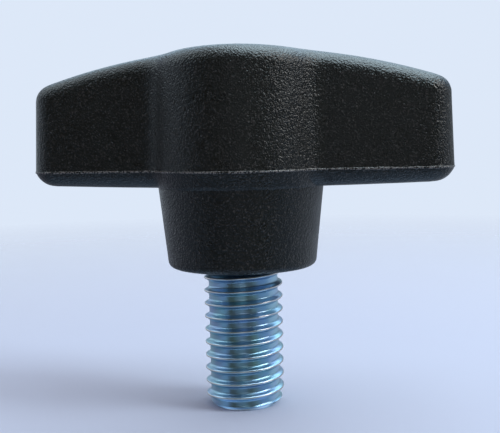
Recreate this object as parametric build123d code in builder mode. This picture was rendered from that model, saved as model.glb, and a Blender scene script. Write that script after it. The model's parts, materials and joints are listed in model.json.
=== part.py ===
"""A wing knob: a moulded plastic head with two wings on a round hub, and a steel stud moulded into it.

Lengths are in millimetres. The origin is the middle of the seat, the flat end of the boss that the
stud leaves. The knob's axis is Z, with the stud below and the crown above, and the wings lie along X.
"""

import os
from math import radians, sqrt, tan

from build123d import *

# Lengths along the axis: the boss from the seat to the wings' underside, the rim from there to the
# parting line, and the head from the parting line to the top of the crown
boss_length = 6.03
rim_depth = 1.32
head_height = 8.85

# The wings and the hub, at the parting line
span = 31.6
hub_radius = 6.75
wing_half_at_axis = 3.65
wing_half_at_tip = 2.8
tip_corner_radius = 2.0
hub_blend_radius = 1.95

# The moulded surfaces of the head: its draft, its crown, its underside and its rounded edges
head_draft_angle = 2.3
crown_radius = 47.5
top_edge_radius = 1.3
rim_draft_angle = 18.0
underside_radius = 430.0
rim_edge_radius = 1.6

# The shoulder, where the hub's rim runs a little deeper than the wings', and the boss under it
shoulder_depth = 1.45
shoulder_edge_radius = 0.6
boss_seat_radius = 5.61
boss_root_radius = 6.36
boss_edge_radius = 0.52
boss_crease_radius = 0.18

# The stud, with the neck and the hexagon that anchor it in the plastic
stud_radius = 3.0
stud_length = 10.7
stud_end_radius = 2.4
neck_radius = 2.6
anchor_height = 7.0
anchor_across_flats = 9.0
anchor_thickness = 4.0

# How far a cutting or joining shape runs past what it meets
overrun = 1.0

parting_height = boss_length + rim_depth
crown_height = parting_height + head_height
parting_plane = Plane.XY.offset(parting_height)

# The stud: a plain pin at the thread's outer size, with the buried neck and hexagon
with BuildPart() as threaded_stud:
    with BuildSketch(Plane.XZ):
        with BuildLine():
            Polyline(
                (0, -stud_length),
                (stud_end_radius, -stud_length),
                (stud_radius, stud_radius - stud_end_radius - stud_length),
                (stud_radius, 0),
                (neck_radius, 0),
                (neck_radius, anchor_height + anchor_thickness),
                (0, anchor_height + anchor_thickness),
                close=True,
            )
        make_face()
    revolve(axis=Axis.Z)
    with BuildSketch(Plane.XY.offset(anchor_height)):
        RegularPolygon(anchor_across_flats / 2, 6, major_radius=False)
    extrude(amount=anchor_thickness)

# The outline of the wings and the hub at the parting line, with the hub blended into the wings
with BuildSketch(parting_plane) as outline:
    Circle(hub_radius)
    Polygon(
        (-span / 2, -wing_half_at_tip),
        (0, -wing_half_at_axis),
        (span / 2, -wing_half_at_tip),
        (span / 2, wing_half_at_tip),
        (0, wing_half_at_axis),
        (-span / 2, wing_half_at_tip),
        align=None,
    )
    columns = outline.vertices().group_by(Axis.X)
    fillet(columns[1] + columns[-2], radius=hub_blend_radius)
    columns = outline.vertices().group_by(Axis.X)
    fillet(columns[0] + columns[-1], radius=tip_corner_radius)

# The rim under the parting line, drafted the other way from the head above it
with BuildPart() as rim:
    extrude(outline.sketch, amount=-rim_depth)
    rim_ends = rim.faces().filter_by(Axis.Z)
    draft(rim.faces() - rim_ends, parting_plane, -rim_draft_angle)

# The head: drafted up from the parting line, then cut to its crown and its gently raised underside
with BuildPart() as wing_head:
    extrude(outline.sketch, amount=head_height + overrun)
    head_ends = wing_head.faces().filter_by(Axis.Z)
    draft(wing_head.faces() - head_ends, parting_plane, head_draft_angle)
    add(rim.part)

    side = span / 2 + overrun
    crown_side_height = crown_height - crown_radius + sqrt(crown_radius**2 - side**2)
    underside_side_height = boss_length + underside_radius - sqrt(underside_radius**2 - side**2)
    with BuildSketch(Plane.XZ):
        with BuildLine():
            crown = ThreePointArc(
                (-side, crown_side_height), (0, crown_height), (side, crown_side_height)
            )
            underside = ThreePointArc(
                (-side, underside_side_height), (0, boss_length), (side, underside_side_height)
            )
            Line(crown @ 0, underside @ 0)
            Line(crown @ 1, underside @ 1)
        make_face()
    extrude(amount=hub_radius + overrun, both=True, mode=Mode.INTERSECT)
    top_edges = wing_head.faces().sort_by(Axis.Z)[-1].edges()
    rim_edges = wing_head.faces().sort_by(Axis.Z)[0].edges()
    fillet(top_edges, radius=top_edge_radius)
    fillet(rim_edges, radius=rim_edge_radius)

    shoulder_height = parting_height - shoulder_depth
    shoulder_radius = hub_radius - shoulder_depth * tan(radians(rim_draft_angle))
    boss_top = boss_length + overrun
    with BuildSketch(Plane.XZ) as boss:
        with BuildLine():
            Polyline(
                (0, shoulder_height),
                (shoulder_radius, shoulder_height),
                (hub_radius, parting_height),
                (0, parting_height),
                close=True,
            )
        make_face()
        shoulder_corner = boss.vertices().group_by(Axis.Y)[0].sort_by(Axis.X)[-1]
        fillet(shoulder_corner, radius=shoulder_edge_radius)
        with BuildLine():
            Polyline(
                (0, 0),
                (boss_seat_radius, 0),
                (boss_root_radius, boss_top),
                (0, boss_top),
                close=True,
            )
        make_face()
        seat_corner = boss.vertices().group_by(Axis.Y)[0].sort_by(Axis.X)[-1]
        crease = boss.vertices().sort_by(Axis.X)[-3]
        fillet(seat_corner, radius=boss_edge_radius)
        fillet(crease, radius=boss_crease_radius)
    revolve(axis=Axis.Z)
    add(threaded_stud.part, mode=Mode.SUBTRACT)

os.makedirs("parts", exist_ok=True)
wing_head.part.label = "wing_head"
export_step(wing_head.part, "parts/wing_head.step")
threaded_stud.part.label = "threaded_stud"
export_step(threaded_stud.part, "parts/threaded_stud.step")
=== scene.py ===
"""A wing knob: a black moulded head with two wings, and a zinc-plated stud with a rolled thread.

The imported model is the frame. This script dresses it: it gives the head its grained plastic, runs the
mould's parting line round it, rolls the stud's thread, and sets a pale stage with soft light.
Lengths are in metres.
"""

import json
from math import cos, pi, radians, sin

import bmesh
import bpy
from bpy.props import FloatProperty, FloatVectorProperty, PointerProperty
from mathutils import Color, Matrix, Vector


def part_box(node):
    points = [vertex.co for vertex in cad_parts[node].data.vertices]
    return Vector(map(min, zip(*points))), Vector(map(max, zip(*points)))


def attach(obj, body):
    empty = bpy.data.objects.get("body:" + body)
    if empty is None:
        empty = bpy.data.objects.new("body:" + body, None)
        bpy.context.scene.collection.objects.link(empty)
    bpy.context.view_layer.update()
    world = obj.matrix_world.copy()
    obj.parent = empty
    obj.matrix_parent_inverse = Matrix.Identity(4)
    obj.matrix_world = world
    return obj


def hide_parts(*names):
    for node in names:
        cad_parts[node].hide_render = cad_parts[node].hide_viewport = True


bl_info = {
    "name": "Wing Knob",
    "version": (1, 0, 0),
    "blender": (4, 5, 0),
    "location": "3D View > Sidebar > Wing Knob",
    "description": "Dresses a moulded wing knob with its threaded stud, and sets its stage",
    "category": "Object",
}

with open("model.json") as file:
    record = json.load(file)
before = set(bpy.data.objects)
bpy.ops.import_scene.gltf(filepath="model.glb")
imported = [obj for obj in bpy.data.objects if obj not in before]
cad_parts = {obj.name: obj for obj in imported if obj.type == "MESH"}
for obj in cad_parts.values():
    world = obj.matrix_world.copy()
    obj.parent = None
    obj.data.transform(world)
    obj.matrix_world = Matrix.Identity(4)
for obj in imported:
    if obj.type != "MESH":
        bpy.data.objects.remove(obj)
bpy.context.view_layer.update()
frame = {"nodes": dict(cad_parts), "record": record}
HEAD = "wing_head"
STUD = "threaded_stud"
BODY = "root"
STUD_LOW, STUD_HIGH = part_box(STUD)
STUD_MOUNT = frame["record"]["mounts"][0]
STUD_RADIUS = STUD_MOUNT["dims"]["r_mm"] / 1000
STUD_END_RADIUS = STUD_RADIUS - (-STUD_LOW.z - STUD_MOUNT["dims"]["length_mm"] / 1000)

# Points of the head's mesh this near each other are one point
SAME_POINT = 1e-7
# Points this near the widest outline in height lie on it
SAME_HEIGHT = 1e-6
# Gaps up to this are closed at the thread's seam and poles
SEAM_GAP = 1e-6

# Most of a noise texture's values lie between these two
NOISE_LOW, NOISE_HIGH = 0.35, 0.65

# The mottle of the plastic and the plating: the coarse grains, the dust and glint specks and the clouds
# in grain widths, the heights over which a grain's top turns pale, the rim and the core of a dust and
# glint speck in its cell, and the cell values over which a cell gets its speck. The pale tops and the
# specks are partly the plastic's bloom and dust, and partly painted glints of the grain
COARSE_WIDTH, DUST_AND_GLINT_WIDTH, CLOUD_WIDTH = 2.0, 5.0, 14.0
PALE_HEIGHTS = (0.45, 0.78)
DUST_AND_GLINT_RIM_AND_CORE = (0.16, 0.08)
CELLS_WITH_DUST_AND_GLINTS = (0.55, 0.75)

# How much of the bloom and painted glint shows on the head's grain, and of the flash's colour, a
# painted highlight, on the parting line's
HEAD_BLOOM_AND_GLINT, FLASH_HIGHLIGHT_SHARE = 1.0, 30.0

# The cards round the knob, with shades chosen one by one. Each runs from one azimuth to another, in
# degrees from the front to the right, and has its height and its shade in three bands: low for the stud
# and the boss to mirror, in the middle for the head, high for the thread
# The cards glow, light nothing, and only reflections show them: painted reflections of the surroundings
CARDS = (
    (-180, -150, 0.1, (0.26, 0.29, 0.36), (0.3, 0.34, 0.4), (0.26, 0.31, 0.4)),
    (-150, -112, 0.12, (0.26, 0.29, 0.36), (0.6, 0.7, 0.8), (0.18, 0.21, 0.29)),
    (-112, -74, 0.2, (0.18, 0.2, 0.28), (0.5, 0.6, 0.7), (0.13, 0.16, 0.24)),
    (-74, -46, 0.2, (0.22, 0.34, 0.48), (0.12, 0.13, 0.13), (0.14, 0.24, 0.34)),
    (-46, -22, 0.3, (0.05, 0.045, 0.012), (0.03, 0.03, 0.025), (0.1, 0.085, 0.02)),
    (-22, 0, 0.3, (0.12, 0.18, 0.22), (0.06, 0.06, 0.05), (0.12, 0.18, 0.22)),
    (0, 7, 0.3, (0.12, 0.18, 0.22), (1.1, 1.17, 1.24), (0.12, 0.18, 0.22)),
    (7, 16, 0.3, (0.12, 0.18, 0.22), (0.45, 0.48, 0.52), (0.12, 0.18, 0.22)),
    (16, 36, 0.3, (0.045, 0.045, 0.03), (0.06, 0.065, 0.06), (0.05, 0.05, 0.04)),
    (36, 56, 0.2, (0.17, 0.24, 0.21), (0.04, 0.045, 0.045), (0.16, 0.23, 0.21)),
    (56, 100, 0.2, (0.18, 0.3, 0.47), (0.2, 0.23, 0.25), (0.18, 0.3, 0.46)),
    (100, 150, 0.14, (0.46, 0.54, 0.66), (0.34, 0.39, 0.44), (0.28, 0.42, 0.6)),
    (150, 180, 0.06, (0.4, 0.46, 0.56), (0.3, 0.34, 0.4), (0.3, 0.34, 0.4)),
)
CARD_RADIUS = 0.14
CARD_BAND_FEET = (-0.09, -0.012, 0.045)
CARD_STEPS = 6

# The sheet under the knob, a glowing card that only reflections show: a painted reflection of paper,
# dark in the middle as a painted shadow of the knob, and painted brighter to the right. Its rings from
# the middle out, each with its radius and its brightness, and the sheet's shade at its left and right
# ends
SHEET_RINGS = (
    (0.001, 0.2), (0.03, 0.3), (0.045, 1.15), (0.076, 1.15), (0.096, 0.25), (CARD_RADIUS, 0.15)
)
SHEET_LEFT = Vector((0.25, 0.38, 0.55))
SHEET_RIGHT = Vector((0.55, 0.78, 1.1))
SHEET_STEPS = 36

# The lamps: each with its name, place, size, power and tint, and the shade that a mirror shows of it.
# A glowing card in the lamp's line gives that shade, a painted highlight, at this share of the lamp's
# distance and size
LAMPS = (
    ("back_lamp", (0.0, 0.17, 0.17), (0.36, 0.16), 0.2, (0.8, 0.92, 1.0), (1.25, 1.7, 2.1)),
    ("top_lamp", (0.05, 0.01, 0.19), (0.2, 0.16), 0.2, (0.8, 0.92, 1.0), (4.3, 5.5, 6.2)),
    ("side_lamp", (-0.13, 0.02, 0.15), (0.14, 0.16), 0.03, (0.8, 0.92, 1.0), (1.35, 1.6, 1.75)),
    ("key_lamp", (0.21, -0.03, 0.15), (0.09, 0.09), 0.34, (0.84, 0.93, 1.0), (6.6, 6.5, 6.3)),
)
LAMP_CARD_SHARE = 0.55

FLOOR_SIDES = 96
# The camera sees nothing nearer than this
NEAREST_SEEN = 0.001


def length(name, default, description):
    return FloatProperty(
        name=name, description=description, default=default, unit="LENGTH", precision=6
    )


def share(name, default, description):
    return FloatProperty(name=name, description=description, default=default, min=0, max=1)


def colour(name, default, description):
    return FloatVectorProperty(
        name=name, description=description, default=default, subtype="COLOR", size=3, min=0, max=1
    )


def angle(name, degrees, description):
    return FloatProperty(
        name=name, description=description, default=radians(degrees), subtype="ANGLE"
    )


class HeadProperties(bpy.types.PropertyGroup):
    """The moulded head's plastic and its parting line"""

    plastic: colour("Plastic", (0.0055, 0.005, 0.0036), "Colour of the black plastic")
    # The grain's pale tops: partly the plastic's bloom, partly painted glints
    bloom_and_glint: colour("Bloom and glint", (0.06, 0.057, 0.052), "Colour of the grain's pale tops")
    polished: share("Polished", 0.27, "Roughness where the plastic is most polished")
    dull: share("Dull", 0.33, "Roughness where the plastic is dullest")
    grain_size: length("Grain size", 0.00012, "Width of one grain of the moulded texture")
    grain_depth: length("Grain depth", 0.000046, "Height of the moulded texture")
    # The flash's pale colour is a painted highlight along the parting line's edge
    flash: colour("Flash", (0.15, 0.145, 0.135), "Colour of the parting line's torn edge")
    flash_reach: length("Flash reach", 0.00009, "How far the parting line stands out of the side")
    flash_height: length("Flash height", 0.00005, "Half of the parting line's thickness")


class StudProperties(bpy.types.PropertyGroup):
    """The stud's thread and its zinc plating"""

    pitch: length("Pitch", 0.001, "Rise of the thread in one turn")
    depth: length("Depth", 0.00036, "Height of the thread from root to crest")
    crest: share("Crest", 0.14, "Width of the crest's flat, as a share of the pitch")
    root: share("Root", 0.28, "Width of the root's flat, as a share of the pitch")
    ease: share("Ease", 0.035, "How far the thread's corners are eased, as a share of the pitch")
    hollow: FloatProperty(
        name="Hollow", description="How hollow the flanks are, 1 being straight", default=2.0, min=1
    )
    start: share("Start", 0.41, "Where in its turn the thread starts")
    anchor_thickness: length("Anchor thickness", 0.004, "Thickness of the buried hexagon")
    neck_radius: length("Neck radius", 0.0026, "Radius of the buried neck")
    zinc: colour("Zinc", (0.4, 0.67, 0.86), "Colour of the plating")
    zinc_share: share("Zinc share", 0.5, "How much of the plating is untinted")
    green: colour("Green tint", (0.44, 0.7, 0.68), "The plating's green tint")
    violet: colour("Violet tint", (0.45, 0.52, 0.8), "The plating's violet tint")
    # The crests' pale colour is partly worn plating, partly a painted highlight along them
    worn_crest_and_highlight: colour("Worn crest and highlight", (0.86, 0.81, 0.79), "Colour of the thread's bright crests")
    pale_crest_from: share("Pale crest from", 0.86, "Where up the thread its bright crest starts")
    root_roughness: share("Root roughness", 0.32, "Roughness in the thread's roots")
    crest_roughness: share("Crest roughness", 0.28, "Roughness on the thread's crests")
    grain_size: length("Grain size", 0.00012, "Width of one grain of the plating")
    grain_depth: length("Grain depth", 0.000004, "Height of the plating's grain")


class StageProperties(bpy.types.PropertyGroup):
    """The floor, the light and the camera"""

    paper: colour("Paper", (0.56, 0.62, 0.76), "Colour of the floor")
    floor_radius: length("Floor radius", 0.16, "Radius of the floor's rim, where it has faded")
    floor_plain: length("Floor plain", 0.03, "Radius of the floor's middle, where it starts to fade")
    air: colour("Air", (0.76, 0.85, 0.99), "Colour of the surroundings")
    air_strength: share("Air strength", 0.95, "Strength of the surroundings in sight")
    glow: colour("Glow", (1.0, 0.82, 0.86), "Colour of the surroundings' light on the knob")
    glow_strength: share("Glow strength", 0.33, "Strength of the surroundings' light on the knob")
    distance: length("Camera distance", 0.067, "From the aim point to the camera")
    aim_height: length("Aim height", 0.0037, "Height of the aim point on the axis")
    aim_right: length("Aim right", 0.00063, "How far right of the axis the camera aims")
    azimuth: angle("Camera azimuth", 9.24, "Turn of the camera about the axis")
    elevation: angle("Camera elevation", 5.24, "Rise of the camera above the aim point")
    roll: angle("Camera roll", 1.26, "Turn of the camera about its own line of sight")
    lens: FloatProperty(
        name="Lens", description="Focal length in millimetres", default=63.2, min=1
    )


class KnobProperties(bpy.types.PropertyGroup):
    """All that a user may change on the knob"""

    head: PointerProperty(name="Head", description="The moulded head", type=HeadProperties)
    stud: PointerProperty(name="Stud", description="The threaded stud", type=StudProperties)
    stage: PointerProperty(name="Stage", description="What the knob stands in", type=StageProperties)


class Tree:
    """Adds nodes to a node tree and links them as they are added."""

    def __init__(self, tree):
        self.tree = tree

    def node(self, kind, inputs=None, **settings):
        """A new node with its settings, and its inputs by name or place: values or sockets."""
        made = self.tree.nodes.new(kind)
        for name, value in settings.items():
            setattr(made, name, value)
        for key, value in (inputs or {}).items():
            self.feed(made.inputs[key], value)
        return made

    def first(self, kind, inputs=None, **settings):
        """The first output of a new node."""
        return self.node(kind, inputs, **settings).outputs[0]

    def feed(self, socket, value):
        if isinstance(value, bpy.types.NodeSocket):
            self.tree.links.new(value, socket)
        elif isinstance(value, Color):
            socket.default_value = (*value, 1)
        else:
            socket.default_value = value

    def math(self, operation, *values):
        return self.first("ShaderNodeMath", dict(enumerate(values)), operation=operation)

    def spread(self, value, low, high, start=0.0, end=1.0):
        """The value carried from low..high to start..end, held at both ends."""
        sockets = {"From Min": low, "From Max": high, "To Min": start, "To Max": end}
        return self.first("ShaderNodeMapRange", {"Value": value, **sockets})

    def noise(self, place, scale, detail):
        return self.first(
            "ShaderNodeTexNoise", {"Vector": place, "Scale": scale, "Detail": detail}
        )

    def mix(self, factor, first, second):
        """The second colour over the first."""
        made = self.node("ShaderNodeMix", {0: factor}, data_type="RGBA")
        self.feed(made.inputs[6], first)
        self.feed(made.inputs[7], second)
        return made.outputs[2]


def named_sockets(tree, inputs, outputs):
    """Gives a node group its named inputs and outputs, each as (name, socket type, default)."""
    for in_out, sockets in (("INPUT", inputs), ("OUTPUT", outputs)):
        for name, kind, *default in sockets:
            socket = tree.interface.new_socket(name, in_out=in_out, socket_type=kind)
            if default:
                socket.default_value = default[0]


def linked(name, data):
    """A new object with this data, in the scene."""
    made = bpy.data.objects.new(name, data)
    bpy.context.scene.collection.objects.link(made)
    return made


def grain_group():
    """The mottle that both the plastic and the plating have: grains, their pale tops and specks (partly
    bloom and dust, partly painted glints), and clouds.
    """
    if "Fine grain" in bpy.data.node_groups:
        return bpy.data.node_groups["Fine grain"]
    group = bpy.data.node_groups.new("Fine grain", "ShaderNodeTree")
    named_sockets(
        group,
        [("Vector", "NodeSocketVector"), ("Grain Size", "NodeSocketFloat")],
        [(name, "NodeSocketFloat") for name in ("Height", "Tops", "Cloud")],
    )
    tree = Tree(group)
    given = tree.node("NodeGroupInput").outputs
    place = given["Vector"]
    scale = tree.math("DIVIDE", 1.0, given["Grain Size"])
    fine = tree.noise(place, scale, detail=1.0)
    coarse = tree.noise(place, tree.math("DIVIDE", scale, COARSE_WIDTH), detail=1.0)
    cloud = tree.noise(place, tree.math("DIVIDE", scale, CLOUD_WIDTH), detail=3.0)
    # Pale grain tops and specks: partly bloom and dust, partly painted glints of the grain
    specks = tree.math("POWER", tree.spread(fine, *PALE_HEIGHTS), 2.0)
    cells = tree.node(
        "ShaderNodeTexVoronoi",
        {"Vector": place, "Scale": tree.math("DIVIDE", scale, DUST_AND_GLINT_WIDTH)},
    ).outputs
    dust_and_glints = tree.math(
        "MULTIPLY",
        tree.spread(cells["Distance"], *DUST_AND_GLINT_RIM_AND_CORE),
        tree.spread(cells["Color"], *CELLS_WITH_DUST_AND_GLINTS),
    )
    tree.node(
        "NodeGroupOutput",
        {
            "Height": tree.math("ADD", fine, coarse),
            "Tops": tree.math("MAXIMUM", specks, dust_and_glints),
            "Cloud": tree.spread(cloud, NOISE_LOW, NOISE_HIGH),
        },
    )
    return group


def new_material(name):
    """A material with an empty tree."""
    material = bpy.data.materials.new(name)
    material.use_nodes = True
    material.node_tree.nodes.clear()
    return material, Tree(material.node_tree)


def place_grain(tree, size, depth):
    """The fine grain on a piece's own coordinates: the group's outputs, and its bump as a normal."""
    place = tree.node("ShaderNodeTexCoord").outputs["Object"]
    grain = tree.node("ShaderNodeGroup", node_tree=grain_group())
    tree.feed(grain.inputs["Vector"], place)
    tree.feed(grain.inputs["Grain Size"], size)
    bump = {"Height": grain.outputs["Height"], "Strength": 1.0, "Distance": depth}
    return grain.outputs, tree.first("ShaderNodeBump", bump)


def grained_plastic(name, head, bloom_and_glint, pale):
    """Black plastic with a moulded grain, whose tops are paler: partly a bloom, partly painted glints.
    Pale is how much of it shows.
    """
    material, tree = new_material(name)
    grain, bump = place_grain(tree, head.grain_size, head.grain_depth)
    # The pale tops are partly bloom and dust, partly painted glints
    tops = tree.math("MULTIPLY", grain["Tops"], pale)
    shader = tree.first(
        "ShaderNodeBsdfPrincipled",
        {
            "Base Color": tree.mix(tops, head.plastic, bloom_and_glint),
            "Roughness": tree.spread(grain["Cloud"], 0.0, 1.0, head.polished, head.dull),
            "Normal": bump,
        },
    )
    tree.node("ShaderNodeOutputMaterial", {"Surface": shader})
    return material


def zinc_plate(stud):
    """Blue-passivated zinc: tinted in patches, dull in the thread's roots and bright on its crests,
    whose paler colour is partly wear and partly a painted highlight.
    """
    material, tree = new_material("zinc_plate")
    grain, bump = place_grain(tree, stud.grain_size, stud.grain_depth)
    crest = tree.node("ShaderNodeAttribute", attribute_name="crest").outputs["Fac"]
    tint = tree.mix(grain["Cloud"], stud.violet, stud.green)
    plate = tree.mix(stud.zinc_share, tint, stud.zinc)
    # Paler crests: partly wear, partly a painted highlight
    bright = tree.spread(crest, stud.pale_crest_from, 1.0)
    shader = tree.first(
        "ShaderNodeBsdfPrincipled",
        {
            "Base Color": tree.mix(bright, plate, stud.worn_crest_and_highlight),
            "Metallic": 1.0,
            "Roughness": tree.spread(crest, 0.0, 1.0, stud.root_roughness, stud.crest_roughness),
            "Normal": bump,
        },
    )
    tree.node("ShaderNodeOutputMaterial", {"Surface": shader})
    return material


def finish_tree(tree, shape, material):
    """Ends a geometry node tree, with its instances made real and its material set."""
    real = tree.first("GeometryNodeRealizeInstances", {"Geometry": shape})
    coated = tree.first("GeometryNodeSetMaterial", {"Geometry": real, "Material": material})
    tree.node("NodeGroupOutput", {"Geometry": coated})


def node_made_mesh(name, start, tree, values):
    """A plain mesh object that a geometry node tree makes, with the tree's inputs given by name."""
    maker = linked(name, start)
    modifier = maker.modifiers.new(name, "NODES")
    modifier.node_group = tree
    for item in tree.interface.items_tree:
        if item.in_out == "INPUT" and item.name in values:
            modifier[item.identifier] = values[item.name]
    graph = bpy.context.evaluated_depsgraph_get()
    made = bpy.data.meshes.new_from_object(maker.evaluated_get(graph), depsgraph=graph)
    maker.modifiers.clear()
    maker.data = made
    made.name = name
    if not made.polygons:
        raise RuntimeError(f"{name} came out empty")
    return maker


def smooth(mesh, degrees):
    """Shades a mesh smooth, apart from the edges sharper than this."""
    mesh.polygons.foreach_set("use_smooth", [True] * len(mesh.polygons))
    mesh.set_sharp_from_angle(angle=radians(degrees))


class KNOB_OT_finish_head(bpy.types.Operator):
    """Give the moulded head its grained plastic"""

    bl_idname = "wing_knob.finish_head"
    bl_label = "Finish Head"

    def execute(self, context):
        head = context.scene.wing_knob.head
        plastic = grained_plastic("grained_plastic", head, head.bloom_and_glint, HEAD_BLOOM_AND_GLINT)
        for slot in frame["nodes"][HEAD].material_slots:
            slot.material = plastic
        return {"FINISHED"}


def flash_tree():
    """Sweeps a thin uneven bead along a line of edges."""
    group = bpy.data.node_groups.new("Parting line", "GeometryNodeTree")
    named_sockets(
        group,
        [
            ("Line", "NodeSocketGeometry"),
            ("Reach", "NodeSocketFloat"),
            ("Half Height", "NodeSocketFloat"),
            ("Step", "NodeSocketFloat", 0.0001),
            ("Bits In A Metre", "NodeSocketFloat", 900.0),
            ("Thinnest", "NodeSocketFloat", 0.6),
            ("Thickest", "NodeSocketFloat", 1.1),
            ("Sides", "NodeSocketInt", 8),
            ("Material", "NodeSocketMaterial"),
        ],
        [("Geometry", "NodeSocketGeometry")],
    )
    tree = Tree(group)
    given = tree.node("NodeGroupInput").outputs
    line = tree.first("GeometryNodeMeshToCurve", {"Mesh": given["Line"]})
    even = tree.first(
        "GeometryNodeResampleCurve", {"Curve": line, "Length": given["Step"]}, mode="LENGTH"
    )
    upright = tree.first("GeometryNodeSetCurveNormal", {"Curve": even}, mode="Z_UP")
    place = tree.first("GeometryNodeInputPosition")
    ragged = tree.noise(place, given["Bits In A Metre"], detail=3.0)
    uneven = tree.spread(ragged, NOISE_LOW, NOISE_HIGH, given["Thinnest"], given["Thickest"])
    ring = tree.first(
        "GeometryNodeCurvePrimitiveCircle", {"Resolution": given["Sides"], "Radius": 1.0}
    )
    across = tree.first(
        "ShaderNodeCombineXYZ", {"X": given["Half Height"], "Y": given["Reach"], "Z": 1.0}
    )
    bead = tree.first("GeometryNodeTransform", {"Geometry": ring, "Scale": across})
    sweep = tree.first(
        "GeometryNodeCurveToMesh", {"Curve": upright, "Profile Curve": bead, "Scale": uneven}
    )
    finish_tree(tree, sweep, given["Material"])
    return group


class KNOB_OT_add_parting_line(bpy.types.Operator):
    """Run the mould's parting line round the head, along its widest outline"""

    bl_idname = "wing_knob.add_parting_line"
    bl_label = "Add Parting Line"

    def execute(self, context):
        head = context.scene.wing_knob.head
        outline = bmesh.new()
        outline.from_mesh(frame["nodes"][HEAD].data)
        bmesh.ops.remove_doubles(outline, verts=outline.verts, dist=SAME_POINT)
        height = max(outline.verts, key=lambda vert: vert.co.x).co.z
        off = [vert for vert in outline.verts if abs(vert.co.z - height) > SAME_HEIGHT]
        bmesh.ops.delete(outline, geom=off, context="VERTS")
        bmesh.ops.delete(outline, geom=outline.faces[:], context="FACES_ONLY")
        line = bpy.data.meshes.new("parting_line")
        outline.to_mesh(line)
        outline.free()
        if not line.edges:
            raise RuntimeError("the head has no edges along its widest outline")
        values = {
            "Reach": head.flash_reach,
            "Half Height": head.flash_height,
            # The parting line's pale colour is a painted highlight
            "Material": grained_plastic("flash_plastic", head, head.flash, FLASH_HIGHLIGHT_SHARE),
        }
        piece = node_made_mesh("parting_line", line, flash_tree(), values)
        smooth(piece.data, degrees=60)
        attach(piece, BODY)
        return {"FINISHED"}


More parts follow.
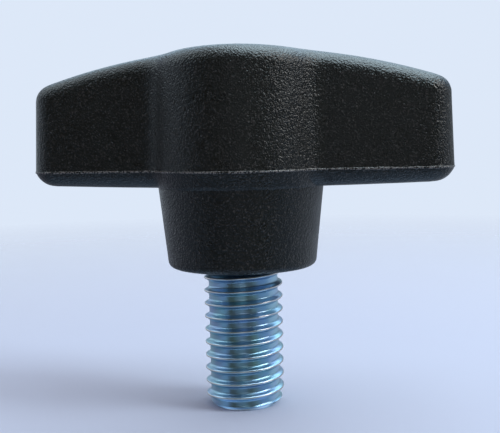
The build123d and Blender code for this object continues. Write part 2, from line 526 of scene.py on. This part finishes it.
def thread_tree(sizes):
    """A stud with a right-hand thread: a sheet of rows along the thread, rolled up round the axis."""
    group = bpy.data.node_groups.new("Rolled thread", "GeometryNodeTree")
    named_sockets(
        group,
        [
            *((name, "NodeSocketFloat") for name in sizes),
            ("Columns", "NodeSocketInt", 128),
            ("Rows In Turn", "NodeSocketInt", 24),
            ("Neck Sides", "NodeSocketInt", 48),
            ("Anchor Sides", "NodeSocketInt", 6),
            ("Material", "NodeSocketMaterial"),
        ],
        [("Geometry", "NodeSocketGeometry")],
    )
    tree = Tree(group)
    math = tree.math
    given = tree.node("NodeGroupInput").outputs
    bottom, pitch, depth = given["Bottom"], given["Pitch"], given["Depth"]

    # The flat sheet has a turn of columns, and rows for the stud's turns and one more at each end
    stud_turns = math("CEIL", math("DIVIDE", math("MULTIPLY", bottom, -1.0), pitch))
    rows = math("MULTIPLY", math("ADD", stud_turns, 2.0), given["Rows In Turn"])
    last_row = math("ADD", rows, 2.0)
    sheet = tree.first(
        "GeometryNodeMeshGrid",
        {
            "Size X": 1.0,
            "Size Y": 1.0,
            "Vertices X": math("ADD", given["Columns"], 1.0),
            "Vertices Y": math("ADD", last_row, 1.0),
        },
    )
    flat = tree.node("ShaderNodeSeparateXYZ", {0: tree.first("GeometryNodeInputPosition")}).outputs
    turn = math("ADD", flat["X"], 0.5)
    row = math("ROUND", math("MULTIPLY", math("ADD", flat["Y"], 0.5), last_row))

    # Each row rises by a pitch in its turn, and stops at the stud's two ends. The first and the last
    # row are the poles, so the row after the first starts a turn below the end and meets it at the seam
    step = math("DIVIDE", pitch, given["Rows In Turn"])
    rise = math("MULTIPLY", math("SUBTRACT", row, 1.0), step)
    rise = math("ADD", rise, math("SUBTRACT", bottom, pitch))
    rise = math("ADD", rise, math("MULTIPLY", turn, pitch))
    height = math("MINIMUM", math("MAXIMUM", rise, bottom), 0.0)

    # The thread's form by the distance from the crest, as the mean of three near places
    along = math("ADD", math("SUBTRACT", math("DIVIDE", height, pitch), turn), given["Start"])
    half_crest = math("MULTIPLY", given["Crest"], 0.5)
    half_gap = math("SUBTRACT", 0.5, math("MULTIPLY", given["Root"], 0.5))
    places = (-1.0, 0.0, 1.0)
    total = 0.0
    for side in places:
        near = math("ADD", along, math("MULTIPLY", given["Ease"], side))
        from_crest = math("PINGPONG", near, 0.5)
        total = math("ADD", total, tree.spread(from_crest, half_crest, half_gap, 1.0, 0.0))
    form = math("POWER", math("DIVIDE", total, len(places)), given["Hollow"])

    # The radius follows the form, the chamfer at the end, and the poles
    root_radius = math("SUBTRACT", given["Radius"], depth)
    thread_radius = math("ADD", root_radius, math("MULTIPLY", form, depth))
    chamfer = math("ADD", given["End Radius"], math("SUBTRACT", height, bottom))
    radius = math("MINIMUM", thread_radius, chamfer)
    after_first = math("GREATER_THAN", row, 0.5)
    before_last = math("LESS_THAN", row, math("SUBTRACT", last_row, 0.5))
    radius = math("MULTIPLY", radius, math("MULTIPLY", after_first, before_last))

    around = math("MULTIPLY", turn, 2 * pi)
    place = tree.first(
        "ShaderNodeCombineXYZ",
        {
            "X": math("MULTIPLY", radius, math("COSINE", around)),
            "Y": math("MULTIPLY", radius, math("SINE", around)),
            "Z": height,
        },
    )
    crested = tree.first(
        "GeometryNodeStoreNamedAttribute",
        {"Geometry": sheet, "Name": "crest", "Value": form},
        data_type="FLOAT",
        domain="POINT",
    )
    rolled = tree.first("GeometryNodeSetPosition", {"Geometry": crested, "Position": place})
    closed = tree.first("GeometryNodeMergeByDistance", {"Geometry": rolled, "Distance": SEAM_GAP})

    # The buried neck, which starts inside the stud, and the hexagon
    anchor_top = given["Anchor Top"]
    neck_foot = math("MULTIPLY", bottom, 0.5)
    neck = round_bar(tree, given["Neck Sides"], given["Neck Radius"], neck_foot, anchor_top)
    anchor_foot = math("SUBTRACT", anchor_top, given["Anchor Thickness"])
    anchor = round_bar(tree, given["Anchor Sides"], given["Anchor Radius"], anchor_foot, anchor_top)
    join = tree.node("GeometryNodeJoinGeometry")
    for part in (closed, anchor, neck):
        tree.feed(join.inputs[0], part)
    finish_tree(tree, join.outputs[0], given["Material"])
    return group


def round_bar(tree, sides, radius, low, high):
    """A bar along the axis from low to high."""
    bar = tree.first(
        "GeometryNodeMeshCylinder",
        {"Vertices": sides, "Radius": radius, "Depth": tree.math("SUBTRACT", high, low)},
    )
    middle = tree.math("MULTIPLY", tree.math("ADD", low, high), 0.5)
    lift = tree.first("ShaderNodeCombineXYZ", {"Z": middle})
    return tree.first("GeometryNodeTransform", {"Geometry": bar, "Translation": lift})


class KNOB_OT_roll_thread(bpy.types.Operator):
    """Make the stud with its rolled thread, its plating and its buried anchor"""

    bl_idname = "wing_knob.roll_thread"
    bl_label = "Roll Thread"

    def execute(self, context):
        stud = context.scene.wing_knob.stud
        sizes = {
            "Radius": STUD_RADIUS,
            "End Radius": STUD_END_RADIUS,
            "Depth": stud.depth,
            "Pitch": stud.pitch,
            "Crest": stud.crest,
            "Root": stud.root,
            "Ease": stud.ease,
            "Hollow": stud.hollow,
            "Start": stud.start,
            "Bottom": STUD_LOW.z,
            "Neck Radius": stud.neck_radius,
            "Anchor Top": STUD_HIGH.z,
            "Anchor Thickness": stud.anchor_thickness,
            "Anchor Radius": STUD_HIGH.x,
        }
        values = {**sizes, "Material": zinc_plate(stud)}
        empty = bpy.data.meshes.new("rolled_thread")
        piece = node_made_mesh("rolled_thread", empty, thread_tree(sizes), values)
        smooth(piece.data, degrees=40)
        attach(piece, BODY)
        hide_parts(STUD)
        return {"FINISHED"}


def object_of(name, made, material):
    """An object in the scene from a finished bmesh."""
    mesh = bpy.data.meshes.new(name)
    made.to_mesh(mesh)
    made.free()
    mesh.materials.append(material)
    return linked(name, mesh)


def pale_floor(stage):
    """A round pale floor at the stud's end, fading into the surroundings towards its rim."""
    material, tree = new_material("pale_paper")
    place = tree.node("ShaderNodeTexCoord").outputs["Object"]
    reach = tree.node("ShaderNodeVectorMath", {0: place}, operation="LENGTH").outputs["Value"]
    paper = tree.first(
        "ShaderNodeBsdfPrincipled",
        {
            "Base Color": stage.paper,
            "Roughness": 0.8,
            "Specular IOR Level": 0.1,
            "Alpha": tree.spread(reach, stage.floor_plain, stage.floor_radius, 1.0, 0.0),
        },
    )
    tree.node("ShaderNodeOutputMaterial", {"Surface": paper})
    disc = bmesh.new()
    bmesh.ops.create_circle(disc, cap_ends=True, segments=FLOOR_SIDES, radius=stage.floor_radius)
    bmesh.ops.translate(disc, verts=disc.verts, vec=(0, 0, STUD_LOW.z))
    floor = object_of("floor", disc, material)
    floor.visible_glossy = False


def pale_air(stage):
    """Pale surroundings: bright in sight and in reflections, and a softer, warmer light on the knob."""
    world = bpy.data.worlds.new("pale_air")
    world.use_nodes = True
    world.node_tree.nodes.clear()
    tree = Tree(world.node_tree)
    rays = tree.node("ShaderNodeLightPath").outputs
    seen = tree.math("MAXIMUM", rays["Is Camera Ray"], rays["Is Glossy Ray"])
    seen = tree.math("MAXIMUM", seen, rays["Is Transmission Ray"])
    air = tree.first(
        "ShaderNodeBackground",
        {
            "Color": tree.mix(seen, stage.glow, stage.air),
            "Strength": tree.spread(seen, 0.0, 1.0, stage.glow_strength, stage.air_strength),
        },
    )
    tree.node("ShaderNodeOutputWorld", {"Surface": air})
    bpy.context.scene.world = world


def facing_knob(place):
    """The turn that makes a lamp or a card at this place face the knob."""
    return (-Vector(place)).to_track_quat("-Z", "Y")


def soft_lamp(name, place, size, power, tint):
    """A soft lamp at a place, turned to the knob. Mirrors show its card, a painted highlight, instead.
    """
    light = bpy.data.lights.new(name, "AREA")
    light.shape = "RECTANGLE"
    light.size, light.size_y = size
    light.energy = power
    light.color = tint
    lamp = linked(name, light)
    lamp.location = place
    lamp.rotation_euler = facing_knob(place).to_euler()
    lamp.visible_glossy = False


def add_card(cards, shades, corners, tints):
    """Adds one card to a bmesh, with a tint at each corner."""
    face = cards.faces.new([cards.verts.new(corner) for corner in corners])
    for loop, tint in zip(face.loops, tints):
        loop[shades] = (*tint, 1)


def from_front(turn, reach, height):
    """The point at an angle from the front to the right, a reach from the axis, and a height."""
    return Vector((reach * sin(turn), -reach * cos(turn), height))


def turn_steps(start, end, count):
    """The equal steps of a turn between two azimuths in degrees, as pairs of angles."""
    turns = [radians(start + (end - start) * step / count) for step in range(count + 1)]
    return list(zip(turns, turns[1:]))


def add_standing_cards(cards, shades):
    """The glowing cards that stand round the knob, each in its three bands: painted reflections of the
    surroundings.
    """
    for start, end, top, *tints in CARDS:
        levels = (*CARD_BAND_FEET, top)
        for low, high, tint in zip(levels, levels[1:], tints):
            for first, second in turn_steps(start, end, CARD_STEPS):
                places = [(first, low), (second, low), (second, high), (first, high)]
                corners = [from_front(turn, CARD_RADIUS, height) for turn, height in places]
                add_card(cards, shades, corners, [tint] * len(corners))


def add_sheet(cards, shades):
    """The glowing sheet under the knob, in rings: a painted reflection, with a painted shadow in its
    dark middle and painted brighter towards its right end.
    """
    for inner, outer in zip(SHEET_RINGS, SHEET_RINGS[1:]):
        for first, second in turn_steps(0, 360, SHEET_STEPS):
            places = [(first, *inner), (first, *outer), (second, *outer), (second, *inner)]
            corners = [from_front(turn, reach, CARD_BAND_FEET[0]) for turn, reach, _ in places]
            tints = []
            for corner, (_, _, brightness) in zip(corners, places):
                to_right = (1 + corner.x / CARD_RADIUS) / 2
                tints.append(SHEET_LEFT.lerp(SHEET_RIGHT, to_right) * brightness)
            add_card(cards, shades, corners, tints)


def add_lamp_cards(cards, shades):
    """A glowing card in each lamp's line, a painted highlight that mirrors show in the lamp's stead."""
    for _, place, (wide, high), _, _, tint in LAMPS:
        turn = facing_knob(place)
        corners = []
        for x, y in ((-1, -1), (1, -1), (1, 1), (-1, 1)):
            corner = Vector(place) + turn @ Vector((x * wide / 2, y * high / 2, 0))
            corners.append(corner * LAMP_CARD_SHARE)
        add_card(cards, shades, corners, [tint] * len(corners))


def reflection_cards():
    """Glowing cards that only reflections show, for the plastic and the plating to mirror: painted
    reflections and highlights.
    """
    material, tree = new_material("reflection_card")
    shade = tree.node("ShaderNodeAttribute", attribute_name="shade").outputs["Color"]
    glow = tree.first("ShaderNodeEmission", {"Color": shade})
    tree.node("ShaderNodeOutputMaterial", {"Surface": glow})
    made = bmesh.new()
    shades = made.loops.layers.float_color.new("shade")
    add_standing_cards(made, shades)
    add_sheet(made, shades)
    add_lamp_cards(made, shades)
    cards = object_of("reflection_cards", made, material)
    cards.visible_camera = False
    cards.visible_diffuse = False
    cards.visible_shadow = False


def aimed_camera(stage):
    """The camera in front of the knob, a little above it and to its right."""
    ahead = Vector((-sin(stage.azimuth), cos(stage.azimuth), 0))
    ahead = ahead * cos(stage.elevation) - Vector((0, 0, sin(stage.elevation)))
    level = ahead.cross(Vector((0, 0, 1))).normalized()
    upright = level.cross(ahead)
    right = level * cos(stage.roll) - upright * sin(stage.roll)
    aim = Vector((0, 0, stage.aim_height))
    place = aim - ahead * stage.distance
    ahead = (aim + right * stage.aim_right - place).normalized()
    right = (right - ahead * right.dot(ahead)).normalized()
    turn = Matrix((right, right.cross(ahead), -ahead)).transposed()
    data = bpy.data.cameras.new("camera")
    data.lens = stage.lens
    data.clip_start = NEAREST_SEEN
    camera = linked("camera", data)
    camera.matrix_world = Matrix.Translation(place) @ turn.to_4x4()
    bpy.context.scene.camera = camera


class KNOB_OT_set_stage(bpy.types.Operator):
    """Lay the pale floor, light the knob softly and aim the camera"""

    bl_idname = "wing_knob.set_stage"
    bl_label = "Set Stage"

    def execute(self, context):
        stage = context.scene.wing_knob.stage
        context.scene.view_settings.view_transform = "Standard"
        pale_floor(stage)
        pale_air(stage)
        reflection_cards()
        for name, place, size, power, tint, _ in LAMPS:
            soft_lamp(name, place, size, power, tint)
        aimed_camera(stage)
        return {"FINISHED"}


class KNOB_PT_panel(bpy.types.Panel):
    """The knob's steps and sizes"""

    bl_idname = "VIEW3D_PT_wing_knob"
    bl_label = "Wing Knob"
    bl_space_type = "VIEW_3D"
    bl_region_type = "UI"
    bl_category = "Wing Knob"

    def draw(self, context):
        for step in STEPS:
            self.layout.operator(step.bl_idname)
        knob = context.scene.wing_knob
        for group in (knob.head, knob.stud, knob.stage):
            box = self.layout.box()
            for name in group.__annotations__:
                box.prop(group, name)


STEPS = (KNOB_OT_finish_head, KNOB_OT_add_parting_line, KNOB_OT_roll_thread, KNOB_OT_set_stage)
CLASSES = (HeadProperties, StudProperties, StageProperties, KnobProperties, *STEPS, KNOB_PT_panel)


def register():
    for cls in CLASSES:
        bpy.utils.register_class(cls)
    bpy.types.Scene.wing_knob = PointerProperty(
        name="Wing knob", description="The knob's sizes and colours", type=KnobProperties
    )


def unregister():
    del bpy.types.Scene.wing_knob
    for cls in reversed(CLASSES):
        bpy.utils.unregister_class(cls)


def main():
    register()
    bpy.ops.wing_knob.finish_head()
    bpy.ops.wing_knob.add_parting_line()
    bpy.ops.wing_knob.roll_thread()
    bpy.ops.wing_knob.set_stage()


if __name__ == "__main__":
    main()
